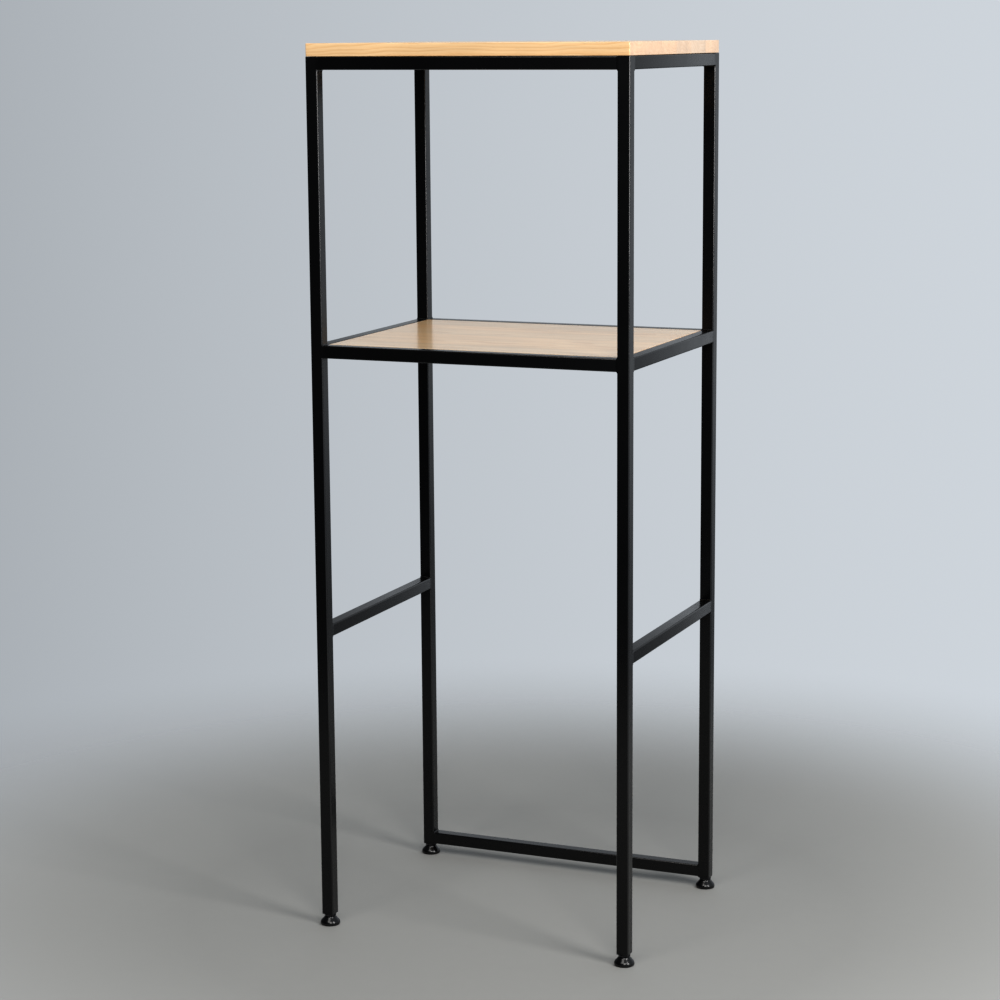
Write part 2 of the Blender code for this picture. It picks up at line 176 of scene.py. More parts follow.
class StageSettings(bpy.types.PropertyGroup):
    floor: rgb("Floor", "Colour of the floor", (0.30, 0.30, 0.29))
    floor_radius: metres("Floor Radius", "Radius of the floor", 9.0)
    camera: FloatVectorProperty(
        name="Camera", description="Place of the camera", default=(1.5650, -3.7977, 1.4321),
        subtype="TRANSLATION",
    )
    yaw: degrees("Yaw", "Turn of the camera to the left of +Y", 22.83)
    pitch: degrees("Pitch", "Tilt of the camera above the level", -10.305)
    roll: degrees("Roll", "Turn of the camera about its own axis", -0.395)
    lens: FloatProperty(
        name="Focal Length", description="Focal length in mm for a 36 mm sensor",
        default=92.894,
    )


class RackSettings(bpy.types.PropertyGroup):
    tube: PointerProperty(type=TubeSettings)
    weld: PointerProperty(type=WeldSettings)
    board: PointerProperty(type=BoardSettings)
    screw: PointerProperty(type=ScrewSettings)
    foot: PointerProperty(type=FootSettings)
    finish: PointerProperty(type=FinishSettings)
    stage: PointerProperty(type=StageSettings)


def settings():
    """The rack's settings, kept on the scene."""
    return bpy.context.scene.rack_looks


# Meshes from whole arrays of points


def smoothstep(low, high, value):
    """0 below low, 1 above high, and 3t^2 - 2t^3 between them."""
    t = np.clip((value - low) / (high - low), 0.0, 1.0)
    return t * t * (3.0 - 2.0 * t)


def grid_quads(rows, columns, wrap):
    """Quads between neighbours on a grid whose columns, and with wrap its rows, close into a ring."""
    i, j = np.meshgrid(np.arange(rows if wrap else rows - 1), np.arange(columns), indexing="ij")
    below = (i + 1) % rows
    beside = (j + 1) % columns
    corners = (i * columns + j, i * columns + beside, below * columns + beside, below * columns + j)
    return np.stack(corners, -1).reshape(-1, 4)


def outward_sign(points, faces):
    """Sign of the volume that the faces enclose: each adds its middle times its area vector."""
    middle = points.mean(0)
    corners = points[faces] - middle
    area = np.cross(corners[:, 2] - corners[:, 0], corners[:, 3] - corners[:, 1])
    return np.sign((corners.mean(1) * area).sum())


def shell(grid, wrap=False):
    """One closed shell from a grid of points (rows, columns, 3), turned to face outwards.

    Its columns close into a ring. With wrap the rows close too, and without it the first and the
    last row are each filled with one flat face.
    """
    rows, columns = grid.shape[:2]
    points = grid.reshape(-1, 3)
    quads = grid_quads(rows, columns, wrap)
    caps = [] if wrap else [np.arange(columns)[::-1], np.arange(columns) + (rows - 1) * columns]
    if outward_sign(points, quads) < 0:
        quads = quads[:, ::-1]
        caps = [cap[::-1] for cap in caps]
    return points, [face.tolist() for face in quads] + [cap.tolist() for cap in caps]


def add_piece(name, shells, slot, body="frame", material=None, replaced=(), edge=None):
    """Make one named piece from closed shells, with its slot's own finish unless one is given.

    It rides on a body and may stand for CAD nodes.
    """
    points = np.concatenate([part[0] for part in shells])
    starts = np.cumsum([0] + [len(part[0]) for part in shells[:-1]])
    faces = [[start + i for i in face] for start, part in zip(starts, shells) for face in part[1]]
    mesh = bpy.data.meshes.new(name)
    mesh.from_pydata(points.tolist(), [], faces)
    if edge is not None:
        mesh.attributes.new("edge", "FLOAT", "POINT").data.foreach_set("value", edge)
    mesh.shade_smooth()
    mesh.set_sharp_from_angle(angle=SMOOTH_ANGLE)
    mesh.materials.append(material or slot_finish(slot))
    piece = bpy.data.objects.new(name, mesh)
    bpy.context.scene.collection.objects.link(piece)
    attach(piece, body)
    if replaced:
        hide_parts(*replaced)


def stand_in(node, word, shape, slot, body="frame", material=None, edge=None):
    """Make the piece that stands for one CAD node, named after it and a word."""
    add_piece(f"{node}_{word}", [shape], slot, body, material, [node], edge)


def rounded_loops(half_x, half_y, radius, support, steps):
    """Rows of rectangles with rounded corners, as an array (rows, columns, 2).

    A corner is an arc of its radius about a centre that lies one radius in from both sides, and a
    supporting point stands on the flat just past each end of it. The other three quarters mirror
    the first.
    """
    half_x, half_y, radius = (np.asarray(v, float)[:, None] for v in (half_x, half_y, radius))
    angle = np.linspace(0.0, QUARTER, steps + 1)[None, :]
    middle_x, middle_y = half_x - radius, half_y - radius
    x = np.concatenate([half_x, middle_x + radius * np.cos(angle), middle_x - support], 1)
    y = np.concatenate([middle_y - support, middle_y + radius * np.sin(angle), half_y], 1)
    first = np.stack([x, y], -1)
    second = first[:, ::-1] * (-1.0, 1.0)
    fourth = first[:, ::-1] * (1.0, -1.0)
    return np.concatenate([first, second, -first, fourth], 1)


def corner_share(steps):
    """For each column of a rounded loop, 1 at the middle of a corner's arc and 0 on the flats."""
    arc = np.sin(2.0 * np.linspace(0.0, QUARTER, steps + 1))
    return np.tile(np.concatenate([[0.0], arc, [0.0]]), 4)


def round_grid(place, radius, height, angles):
    """Points about an upright axis: x and y are radius times the cosine and sine of the angle."""
    radius, height, angles = np.broadcast_arrays(radius, height, angles)
    x = place[0] + radius * np.cos(angles)
    y = place[1] + radius * np.sin(angles)
    return np.stack([x, y, height], -1)


def turn_angles(steps):
    """Evenly spaced angles over one turn."""
    return np.linspace(0.0, math.tau, steps, endpoint=False)


def hexagon(across_flats, angles, turn=0.0):
    """Radius of a hexagon at each angle: half its width over the cosine of the angle to a flat."""
    from_flat = (angles - turn) % (math.tau / 6) - math.tau / 12
    return across_flats / 2 / np.cos(from_flat)


def square_radius(half, corner, angles):
    """Radius of a rounded square at each angle: a soft largest of both coordinates, whose power
    grows as the corner shrinks."""
    power = 2.0 + 3.2 * half / corner
    x, y = np.abs(np.cos(angles)), np.abs(np.sin(angles))
    return half / (x ** power + y ** power) ** (1.0 / power)


def thread_wave(angles, height, pitch):
    """A right-hand thread's form, 1 at its crest and 0 at its root: a triangle wave of the height
    over the pitch less the angle over a turn, cut flat at both ends."""
    share = (height / pitch - angles / math.tau) % 1.0
    return np.clip(1.3 * (1.0 - np.abs(2.0 * share - 1.0)) - 0.15, 0.0, 1.0)


def stack_rows(columns, *parts):
    """One array from parts that are each a number, a row or several rows."""
    blocks = [np.atleast_2d(part) for part in parts]
    return np.concatenate([np.broadcast_to(rows, (len(rows), columns)) for rows in blocks])


def corners_of(node):
    """Lowest and highest corner of a CAD node as arrays."""
    low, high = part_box(node)
    return np.array(low), np.array(high)


def upright(node):
    """The middle of a CAD node's box, and the heights of its bottom and its top."""
    low, high = corners_of(node)
    return (low + high) / 2, low[2], high[2]


# Shapes of the pieces


def tube_shell(node, tube):
    """A square tube that fills a CAD node's box.

    Each row is a rounded square, set in from the tube's outline by the profile's offset and placed
    at its distance along the tube. The profile climbs the outside, rolls over a small quarter
    circle at the end, crosses the wall, runs back down the inside and closes.
    """
    low, high = corners_of(node)
    axis = int(np.argmax(high - low))
    across = [i for i in range(3) if i != axis]
    half = (high - low)[across[0]] / 2
    ease, wall = tube.end_ease, tube.wall
    least_radius, support = 0.0003, 0.0005
    roll = np.linspace(0.0, QUARTER, 4)
    lip = ease * 0.6
    offset_end = np.concatenate([ease * (1 - np.cos(roll)), wall - lip * (1 - np.sin(roll))])
    along_end = np.concatenate([ease * (1 - np.sin(roll)), lip * (1 - np.cos(roll))])
    offset = np.concatenate([offset_end, offset_end[::-1]])
    along = np.concatenate([high[axis] - along_end, (low[axis] + along_end)[::-1]])
    radius = np.maximum(tube.corner - offset, least_radius)
    loops = rounded_loops(half - offset, half - offset, radius, support, tube.corner_steps)
    grid = np.empty(loops.shape[:2] + (3,))
    middle = (low + high) / 2
    grid[..., across[0]] = middle[across[0]] + loops[..., 0]
    grid[..., across[1]] = middle[across[1]] + loops[..., 1]
    grid[..., axis] = along[:, None]
    outside = np.where(offset < ease, 1.0, 0.0)[:, None]
    edge = outside * corner_share(tube.corner_steps)[None, :]
    return shell(grid, wrap=True), edge.reshape(-1)


def outline_by_length(half, radius, count):
    """Evenly spaced points on a rounded square, and the outward normal at each.

    The distance along the outline is cut into four equal stretches. In the first, the flat runs up
    the +X side, and what is left of the distance over the radius is the angle round the corner.
    """
    flat = 2.0 * (half - radius)
    stretch = flat + radius * QUARTER
    distance = np.linspace(0.0, 4.0 * stretch, count, endpoint=False)
    quarter, rest = np.divmod(distance, stretch)
    angle = np.maximum(rest - flat, 0.0) / radius
    x = half - radius + radius * np.cos(angle)
    y = -half + radius + np.minimum(rest, flat) + radius * np.sin(angle)
    turn = quarter * QUARTER
    cos, sin = np.cos(turn), np.sin(turn)
    points = np.stack([cos * x - sin * y, sin * x + cos * y], -1)
    normals = np.stack([np.cos(angle + turn), np.sin(angle + turn)], -1)
    return points, normals, distance


def weld_shell(rail, end, flush_low, flush_high, tube, weld):
    """The weld round one end of a rail, as a profile carried round the rail's outline.

    Where the rail stands on the face of the leg, the profile is a hollow fillet, a quarter circle
    that leaves the rail and the leg along their faces and ripples along its length. Where both
    faces are flush it is a strip that reaches over the leg's rounded corner, with a low crown.
    Between the two it is their mean, weighted by which way the outline faces. Below its surface
    the profile returns inside the metal, at the depth of its root.
    """
    low, high = corners_of(rail)
    axis = int(np.argmax(high - low))
    across = 1 - axis
    middle = (low + high) / 2
    half = (high - low)[2] / 2
    sink, root = 0.00006, 0.0011
    points, normals, distance = outline_by_length(half, tube.corner, 260)
    facing = np.abs(normals[:, 0])
    if flush_low:
        facing = np.maximum(facing, -normals[:, 1])
    if flush_high:
        facing = np.maximum(facing, normals[:, 1])
    flush = smoothstep(0.55, 0.98, facing)
    s = np.linspace(0.0, 1.0, 12)[:, None]
    ripple = 1.0 + weld.ripple * np.sin(math.tau * distance / weld.ripple_pitch + 5.0 * s)
    uneven = 1.0 + 0.12 * np.sin(distance * 310.0 + middle[0] * 40.0 + middle[2] * 9.0)
    size = ripple * uneven
    fillet_along = weld.rail_reach * size * (1.0 - np.sin(s * QUARTER)) - sink
    fillet_out = weld.leg_reach * size * (1.0 - np.cos(s * QUARTER)) - sink
    strip_along = weld.rail_reach - s * (weld.rail_reach + weld.ground_reach)
    strip_out = weld.ground_height * (np.sin(math.pi * s) * 1.4 - 0.4)
    along = (1.0 - flush) * fillet_along + flush * strip_along
    out = (1.0 - flush) * fillet_out + flush * strip_out
    under = np.full((1, len(distance)), -root)
    deep_start = (1.0 - flush) * -0.0006 + flush * -weld.ground_reach
    deep_end = np.full((1, len(distance)), weld.rail_reach * 0.8)
    along = np.concatenate([along, deep_start[None, :], deep_end])
    out = np.concatenate([out, under, under])
    plane = high[axis] if end > 0 else low[axis]
    grid = np.empty(along.shape + (3,))
    grid[..., axis] = plane - end * along
    grid[..., across] = middle[across] + points[:, 0] + normals[:, 0] * out
    grid[..., 2] = middle[2] + points[:, 1] + normals[:, 1] * out
    return shell(grid, wrap=True)


def corner_bead_shell(x, y, sign_x, sign_y, low, high, weld):
    """An upright weld bead in the corner between two rails: a hollow quarter circle whose ends
    taper, carried up from low to high. Two more points close it inside the metal."""
    angle = np.linspace(0.0, QUARTER, 9)
    height = np.linspace(low, high, 40)
    t = (height - low) / (high - low)
    ripple = 1.0 + weld.ripple * np.sin(math.tau * height / weld.ripple_pitch)
    reach = weld.bead_reach * ripple * np.sin(math.pi * t) ** 0.3
    reach = np.maximum(reach, 0.00005)[:, None]
    away_x = np.concatenate([1.0 - np.sin(angle), [-0.25, -0.25]])[None, :] * reach
    away_y = np.concatenate([1.0 - np.cos(angle), [1.0, -0.25]])[None, :] * reach
    grid = np.empty(away_x.shape + (3,))
    grid[..., 0] = x - sign_x * away_x
    grid[..., 1] = y - sign_y * away_y
    grid[..., 2] = height[:, None]
    return shell(grid)


def tab_shell(node, sign_x, sign_y, hole):
    """A triangular plate about its screw hole, which is inset from both sides of its square corner.

    At each angle its outline is a soft smallest of the distances to its three edges, which rounds
    its points. Rows run from the hole's edge out under the plate, round its eased edge and back
    over it, and close through the hole.
    """
    low, high = corners_of(node)
    corner = np.array([high[0] if sign_x > 0 else low[0], high[1] if sign_y > 0 else low[1]])
    side = high[0] - low[0]
    inset = 0.014
    columns = 240
    angles = turn_angles(columns)
    slant = side / math.sqrt(2.0) - inset * math.sqrt(2.0)
    power = 26.0
    facing = [(0.0, inset), (QUARTER, inset), (1.25 * math.pi, slant)]
    near = sum(np.maximum(np.cos(angles - way), 0.0) ** power / far ** power for way, far in facing)
    outline = near ** (-1.0 / power)
    ease = 0.0004
    roll = np.linspace(0.0, QUARTER, 4)[:, None]
    thick = high[2] - low[2]
    edge_radius = outline - ease * (1.0 - np.sin(roll))
    radius = stack_rows(columns, hole, edge_radius, edge_radius[::-1], hole)
    rise = np.concatenate([[[0.0]], ease * (1.0 - np.cos(roll))])
    height = np.concatenate([low[2] + rise, low[2] + thick - rise[::-1]])
    grid = round_grid((0.0, 0.0), radius, height, angles)
    grid[..., 0] = corner[0] + sign_x * (grid[..., 0] - inset)
    grid[..., 1] = corner[1] + sign_y * (grid[..., 1] - inset)
    return shell(grid, wrap=True)


def board_shell(node, board):
    """A board that fills a CAD node's box: rounded rectangles that grow round a quarter circle at
    the lower edge, rise up the side and shrink round another at the upper edge."""
    low, high = corners_of(node)
    middle = (low + high) / 2
    half = (high - low) / 2
    roll = np.linspace(0.0, QUARTER, 6)
    cap_inset, least_radius, support = 0.003, 0.0003, 0.004
    inset = np.concatenate([[cap_inset], board.edge * (1.0 - np.sin(roll))])
    rise = np.concatenate([[0.0], board.edge * (1.0 - np.cos(roll))])
    inset = np.concatenate([inset, inset[::-1]])
    height = np.concatenate([low[2] + rise, (high[2] - rise)[::-1]])
    radius = np.maximum(board.corner + board.edge - inset, least_radius)
    loops = rounded_loops(half[0] - inset, half[1] - inset, radius, support, 6)
    levels = np.broadcast_to(height[:, None, None], loops.shape[:2] + (1,))
    return shell(np.concatenate([loops + middle[:2], levels], -1))


def screw_shell(node, crest, screw):
    """A pan head screw that points up.

    Rows start at the middle of the head. Its dome is a circle's arc, cut by a cross: the recess is
    deepest where the smaller of |x| and |y| is small and the larger is short of the cross's arms.
    The shank's radius is its core plus the thread's wave, and both shrink to nothing over the tip.
    """
    low, high = corners_of(node)
    place = (low + high) / 2
    head = (high[0] - low[0]) / 2
    columns = 36
    angles = turn_angles(columns)
    seat = low[2] + screw.head
    share = np.linspace(0.02, 1.0, 22)[:, None]
    dome_radius = head * share
    x, y = np.abs(dome_radius * np.cos(angles)), np.abs(dome_radius * np.sin(angles))
    narrow = smoothstep(0.16, 0.10, np.minimum(x, y) / head)
    short = smoothstep(0.66, 0.48, np.maximum(x, y) / head)
    dome = low[2] + screw.head * (1.0 - np.sqrt(1.0 - 0.92 * share ** 2))
    dome = dome + screw.recess * narrow * short
    dome = np.minimum(dome, seat - 0.0002)
    shank_height = np.linspace(seat, high[2], 150)[:, None]
    taper = np.clip((high[2] - shank_height) / screw.tip, 0.02, 1.0)
    grip = smoothstep(seat + 0.0005, seat + 0.003, shank_height)
    wave = thread_wave(angles, shank_height, screw.pitch) * grip
    core = crest * screw.core
    shank = (core + (crest - core) * wave) * taper
    radius = stack_rows(columns, dome_radius, head, shank)
    height = stack_rows(columns, dome, seat, shank_height)
    return shell(round_grid(place, radius, height, angles))


def pad_shell(place, bottom, top, widest, foot):
    """The bell of a levelling foot, turned about its axis.

    From its rounded shoulder the radius grows with the sine of a power of the share of the way
    down, to the widest point at the rim.
    A quarter ellipse rolls under to the ring that stands on the floor, which has three shallow
    grooves. The socket inside it holds the stud's disc under a lip.
    """
    mouth = foot.neck + foot.clearance
    socket = foot.disc + foot.clearance
    rim = bottom + 0.0036
    shoulder = 0.0007
    soft = np.linspace(0.0, QUARTER, 7)
    shoulder_radius = foot.pad_top - shoulder * (1.0 - np.sin(soft))
    shoulder_height = top - shoulder * (1.0 - np.cos(soft))
    t = np.linspace(0.0, 1.0, 26)[1:]
    bell_radius = foot.pad_top + (widest - foot.pad_top) * np.sin(QUARTER * t ** 1.25)
    bell_height = top - shoulder - (top - shoulder - rim) * t
    under = np.linspace(0.0, QUARTER, 12)[1:]
    under_radius = foot.pad_base + (widest - foot.pad_base) * np.cos(under)
    under_height = rim - (rim - bottom) * np.sin(under)
    ring_radius = np.linspace(foot.pad_base, socket + 0.0008, 60)[1:]
    middle_groove, groove_pitch, groove_depth = 0.0122, 0.0016, 0.0004
    from_middle = ring_radius - middle_groove
    wave = np.clip(np.cos(math.tau * from_middle / groove_pitch), 0.0, 1.0)
    grooved = np.abs(from_middle) < 1.25 * groove_pitch
    ring_height = bottom + np.where(grooved, groove_depth * wave, 0.0)
    inside_radius = np.array([socket + 0.0003, socket, socket, mouth, mouth, mouth + 0.0004])
    inside_height = np.array([0.0, 0.0003, top - foot.lip, top - foot.lip, top - 0.0004, top])
    inside_height[:2] += bottom
    parts_r = (shoulder_radius, bell_radius, under_radius, ring_radius, inside_radius)
    parts_z = (shoulder_height, bell_height, under_height, ring_height, inside_height)
    radius = np.concatenate(parts_r)[:, None]
    height = np.concatenate(parts_z)[:, None]
    return shell(round_grid(place, radius, height, turn_angles(96)), wrap=True)


def chamfered_hexagon(across_flats, low, high, angles, turn):
    """Rows of a hexagon between two heights. A cone of 30 degrees trims its corners at both faces,
    so each edge drops by the hexagon's radius less the cone's, times the slope."""
    outline = hexagon(across_flats, angles, turn)
    round_face = across_flats / 2 * 0.955
    drop = (outline - round_face) * math.tan(math.radians(30))
    columns = len(angles)
    radius = stack_rows(columns, round_face, outline, outline, round_face)
    height = stack_rows(columns, high, high - drop, low + drop, low)
    return radius, height


def stud_shell(place, low, high, collar_low, collar_high, foot):
    """A levelling stud from the top down: a threaded shank with a chamfered end, a hexagonal
    collar, a thin neck and the disc that sits in the pad."""
    columns = 72
    angles = turn_angles(columns)
    heights = np.linspace(high, collar_high + 0.0004, 270)[:, None]
    wave = thread_wave(angles, heights, foot.pitch)
    shank = foot.crest - foot.depth * (1.0 - wave)
    chamfer = 0.0011
    cone = foot.crest - chamfer + (high - heights) * 1.1
    shank = np.minimum(shank, cone)
    collar_radius, collar_height = chamfered_hexagon(
        foot.collar, collar_low, collar_high, angles, math.radians(13)
    )
    disc_high = collar_low - foot.lip - 2 * foot.clearance
    root = foot.crest - foot.depth
    bottom_rows = (foot.neck, foot.neck, foot.disc, foot.disc, foot.disc - 0.0003)
    bottom_heights = (collar_low, disc_high, disc_high, low + 0.0003, low)
    end = foot.crest - chamfer - 0.0002
    radius = stack_rows(columns, end, shank, root, collar_radius, *bottom_rows)
    height = stack_rows(columns, high, heights, collar_high, collar_height, *bottom_heights)
    return shell(round_grid(place, radius, height, angles))


def nut_shell(place, low, high, foot):
    """A hexagon nut: chamfered outside, and bored with the stud's own thread a little larger."""
    columns = 72
    angles = turn_angles(columns)
    outside_radius, outside_height = chamfered_hexagon(
        foot.nut, low, high, angles, math.radians(15)
    )
    heights = np.linspace(low, high, 64)[:, None]
    wave = thread_wave(angles, heights, foot.pitch)
    bore = foot.crest + 0.00008 - foot.depth * (1.0 - wave)
    sink = np.clip(np.minimum(heights - low, high - heights) / 0.0008, 0.0, 1.0)
    bore = np.maximum(bore, foot.crest + 0.0003 - 0.0009 * sink)
    radius = stack_rows(columns, outside_radius, bore)
    height = stack_rows(columns, outside_height, heights)
    return shell(round_grid(place, radius, height, angles), wrap=True)


def insert_shell(place, low, high, leg_bottom, tube, foot):
    """The moulded plug in a leg: a thin square head outside, ribs that grip the tube inside, and a
    hexagonal pocket for the nut over the bore.

    Every row is a rounded square, a hexagon or a circle about the leg's axis.
    """
    columns = 144
    angles = turn_angles(columns)
    bore = foot.crest + 0.0005
    head = 0.0097
    inner = 0.010 - tube.wall - foot.clearance
    core = inner - 0.0016
    shoulder = leg_bottom - foot.clearance
    pocket = hexagon(foot.nut + 2 * foot.clearance, angles, math.radians(15))
    pocket_floor = high - foot.nut_height - 2 * foot.clearance
    block = pocket_floor - 0.0016
    head_edge = square_radius(head, tube.corner, angles)
    inside_corner = 0.0012
    inner_edge = square_radius(inner, inside_corner, angles)
    core_edge = square_radius(core, inside_corner, angles)
    rows = [(bore + 0.0004, low), (head_edge - 0.0003, low), (head_edge, low + 0.0003)]
    rows += [(head_edge, shoulder - 0.0001), (head_edge - 0.0001, shoulder), (core_edge, shoulder)]
    pitch = (block - shoulder) / 3
    for i in (2, 1):
        top = block - i * pitch
        rows += [(core_edge, top - 0.55 * pitch), (inner_edge, top - 0.45 * pitch)]
        rows += [(inner_edge, top), (core_edge, top)]
    rows += [(core_edge, block), (inner_edge, block + 0.0003), (inner_edge, high - 0.0006)]
    rows += [(inner_edge - 0.0006, high), (pocket, high), (pocket, pocket_floor)]
    rows += [(bore, pocket_floor), (bore, low + 0.0004)]
    radius = stack_rows(columns, *[row[0] for row in rows])
    height = stack_rows(columns, *[row[1] for row in rows])
    return shell(round_grid(place, radius, height, angles), wrap=True)


# Finishes


class Nodes:
    """The node tree of a material or a world, in the making."""

    def __init__(self, owner):
        owner.use_nodes = True
        self.tree = owner.node_tree

    def node(self, kind, values=None, **options):
        """Add a node, set its options, and link or set each of its inputs."""
        made = self.tree.nodes.new(kind)
        for option, value in options.items():
            setattr(made, option, value)
        for key, value in (values or {}).items():
            self.feed(made.inputs[key], value)
        return made

    def feed(self, socket, value):
        """Link a socket to an output, or set its own value."""
        if isinstance(value, bpy.types.NodeSocket):
            self.tree.links.new(value, socket)
        else:
            socket.default_value = value

    def math(self, operation, *values):
        """One step of arithmetic."""
        made = self.node("ShaderNodeMath", dict(enumerate(values)), operation=operation)
        return made.outputs[0]

    def plus(self, first, second):
        """A sum."""
        return self.math("ADD", first, second)

    def minus(self, first, second):
        """A difference."""
        return self.math("SUBTRACT", first, second)

    def times(self, first, second, added=0.0):
        """A product, with a third number added to it."""
        return self.math("MULTIPLY_ADD", first, second, added)

    def fit(self, value, low, high, to_low, to_high, kind="LINEAR"):
        """Map one range of numbers to another, held at both ends."""
        numbers = {"Value": value, "From Min": low, "From Max": high}
        numbers.update({"To Min": to_low, "To Max": to_high})
        return self.node("ShaderNodeMapRange", numbers, interpolation_type=kind).outputs[0]

    def parts(self, vector):
        """The three parts of a vector or a colour."""
        return self.node("ShaderNodeSeparateXYZ", {0: vector}).outputs

    def join(self, x, y, z=0.0):
        """A vector from its three parts."""
        return self.node("ShaderNodeCombineXYZ", {0: x, 1: y, 2: z}).outputs[0]


class Finish(Nodes):
    """A material in the making, with its shader and the place of each point on it."""

    def __init__(self, name):
        self.material = bpy.data.materials.new(name)
        super().__init__(self.material)
        self.shader = self.tree.nodes["Principled BSDF"]
        self.place = self.node("ShaderNodeTexCoord").outputs["Object"]

    def stretched(self, scale, place=None, location=(0, 0, 0)):
        """The place of each point, scaled along each axis and then moved."""
        values = {"Vector": place or self.place, "Location": location, "Scale": scale}
        return self.node("ShaderNodeMapping", values).outputs[0]

    def noise(self, place, scale=1.0, detail=2.0, rough=0.5):
        """Smooth noise from 0 to 1."""
        values = {"Vector": place, "Scale": scale, "Detail": detail, "Roughness": rough}
        return self.node("ShaderNodeTexNoise", values).outputs[0]

    def blend(self, share, first, second, kind="MIX"):
        """Mix two colours."""
        values = {0: share, 6: first, 7: second}
        made = self.node("ShaderNodeMix", values, data_type="RGBA", blend_type=kind)
        return made.outputs[2]

    def bump(self, height, distance, strength=1.0, under=None):
        """Turn a height into a tilt of the surface, over another bump if one is given."""
        values = {"Height": height, "Distance": distance, "Strength": strength}
        if under is not None:
            values["Normal"] = under
        return self.node("ShaderNodeBump", values).outputs[0]

    def shade(self, **values):
        """Link or set the shader's own sockets, named with _ for a space."""
        for name, value in values.items():
            self.feed(self.shader.inputs[name.replace("_", " ")], value)
        return self.material


def solid(colour):
    """A colour with full alpha."""
    return (*colour, 1.0)


def powder_coat(name, colours):
    """Satin black powder coat: a fine orange peel over a finer sand, handling marks that change its
    gloss, a few pinholes of dust, and a thinner and glossier film along the tube's corners."""
    coat = Finish(name)
    corner = coat.node("ShaderNodeAttribute", attribute_name="edge").outputs["Fac"]
    cloud = coat.noise(coat.place, 9.0, 3.0)
    scuff = coat.noise(coat.stretched((45.0, 45.0, 45.0)), 1.0, 4.0, 0.65)
    peel = coat.noise(coat.place, 620.0, 1.0)
    sand = coat.noise(coat.place, 2600.0, 2.0)
    speck = coat.node("ShaderNodeTexVoronoi", {"Vector": coat.place, "Scale": 190.0}).outputs[0]
    dust = coat.fit(speck, 0.045, 0.075, 1.0, 0.0)
    thin = coat.times(corner, coat.fit(cloud, 0.35, 0.65, 0.55, 1.0))
    colour = coat.blend(thin, solid(colours.coat), solid(colours.coat_worn))
    colour = coat.blend(coat.times(dust, 0.4), colour, (0.03, 0.03, 0.03, 1.0))
    rough = coat.fit(scuff, 0.3, 0.7, 0.25, 0.29)
    rough = coat.plus(rough, coat.fit(cloud, 0.3, 0.7, -0.01, 0.02))
    rough = coat.minus(rough, coat.times(thin, 0.07))
    film = coat.fit(thin, 0.0, 1.0, 0.5, 1.0)
    relief = coat.bump(sand, 0.000012, 0.6)
    relief = coat.bump(peel, 0.00005, 0.55, relief)
    relief = coat.bump(dust, 0.00006, 0.5, relief)
    return coat.shade(
        Base_Color=colour, Roughness=rough, Normal=relief, Specular_IOR_Level=film, IOR=1.5,
    )


